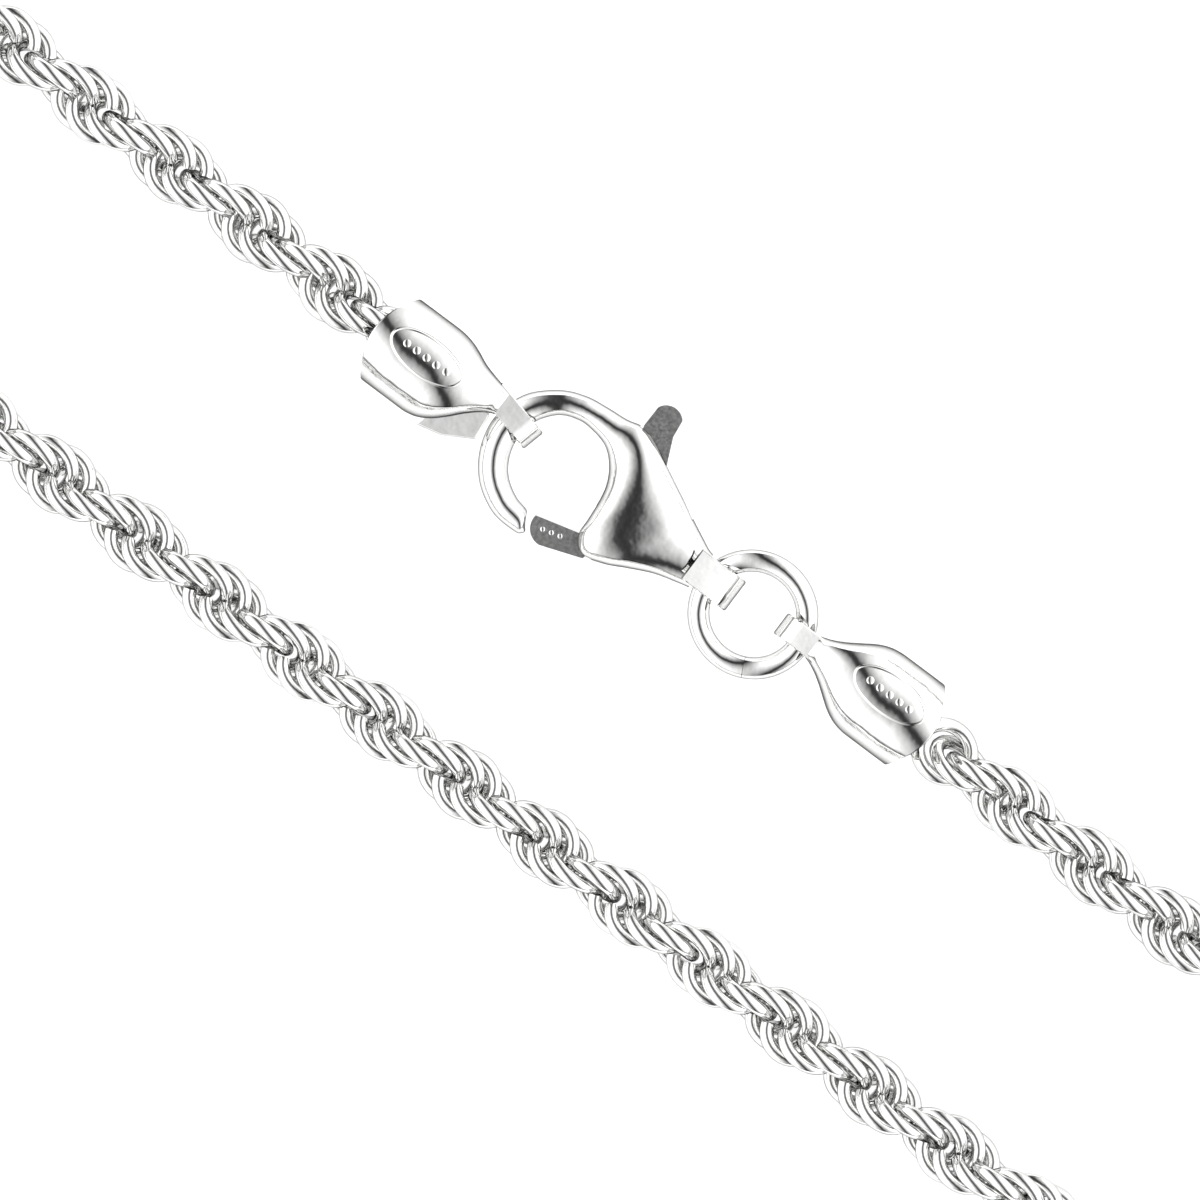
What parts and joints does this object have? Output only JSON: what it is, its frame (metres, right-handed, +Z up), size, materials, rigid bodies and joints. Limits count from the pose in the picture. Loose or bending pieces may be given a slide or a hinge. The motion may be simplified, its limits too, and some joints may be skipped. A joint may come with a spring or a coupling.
{
  "type": "chain necklace",
  "caption": "Polished silver rope-chain necklace laid flat, its two capped ends joined by a lobster clasp with a sprung gate and a jump ring.",
  "frame": {"origin": "centre of the laid-out necklace's bounding box, on the table", "axes": "+X along the longest side of the laid-out necklace, +Y across it on the table, +Z up away from the table"},
  "size_m": [0.0956, 0.057, 0.0041],
  "materials": {
    "rope": "polished silver rope links",
    "caps": "polished silver",
    "ring": "polished silver",
    "clasp": "polished silver",
    "gate": "silver, satin at the thumb tab",
    "pin": "drawn steel",
    "spring": "spring steel"
  },
  "bodies": {
    "necklace": {"rope_a": "rope", "rope_left_fold": "rope", "rope_lower": "rope", "rope_right_fold": "rope", "rope_b": "rope", "end_cap_a": "caps", "end_cap_b": "caps"},
    "ring": {"jump_ring": "ring"},
    "clasp": {"clasp_body": "clasp", "tail_strap": "clasp", "pivot_pin": "pin", "gate_spring": "spring"},
    "gate": {"gate_lever": "gate"}
  },
  "joints": [
    {"name": "ring_spin", "type": "hinge", "parent": "necklace", "child": "ring", "pos_m": [0.00634, 0.00035, 0.0016], "axis": [-0.1452, -0.1935, 0.9703], "continuous": true},
    {"name": "clasp_swing", "type": "hinge", "parent": "necklace", "child": "clasp", "pos_m": [0.00634, 0.00035, 0.0016], "axis": [0, 0, 1], "range_deg": [-1, 1]},
    {"name": "gate_hinge", "type": "hinge", "parent": "clasp", "child": "gate", "pos_m": [0.00034, 0.00376, 0.0018], "axis": [0, 0, -1], "range_deg": [0, 28], "stiffness_Nm_per_rad": 0.0002, "springref_deg": -20.05}
  ]
}
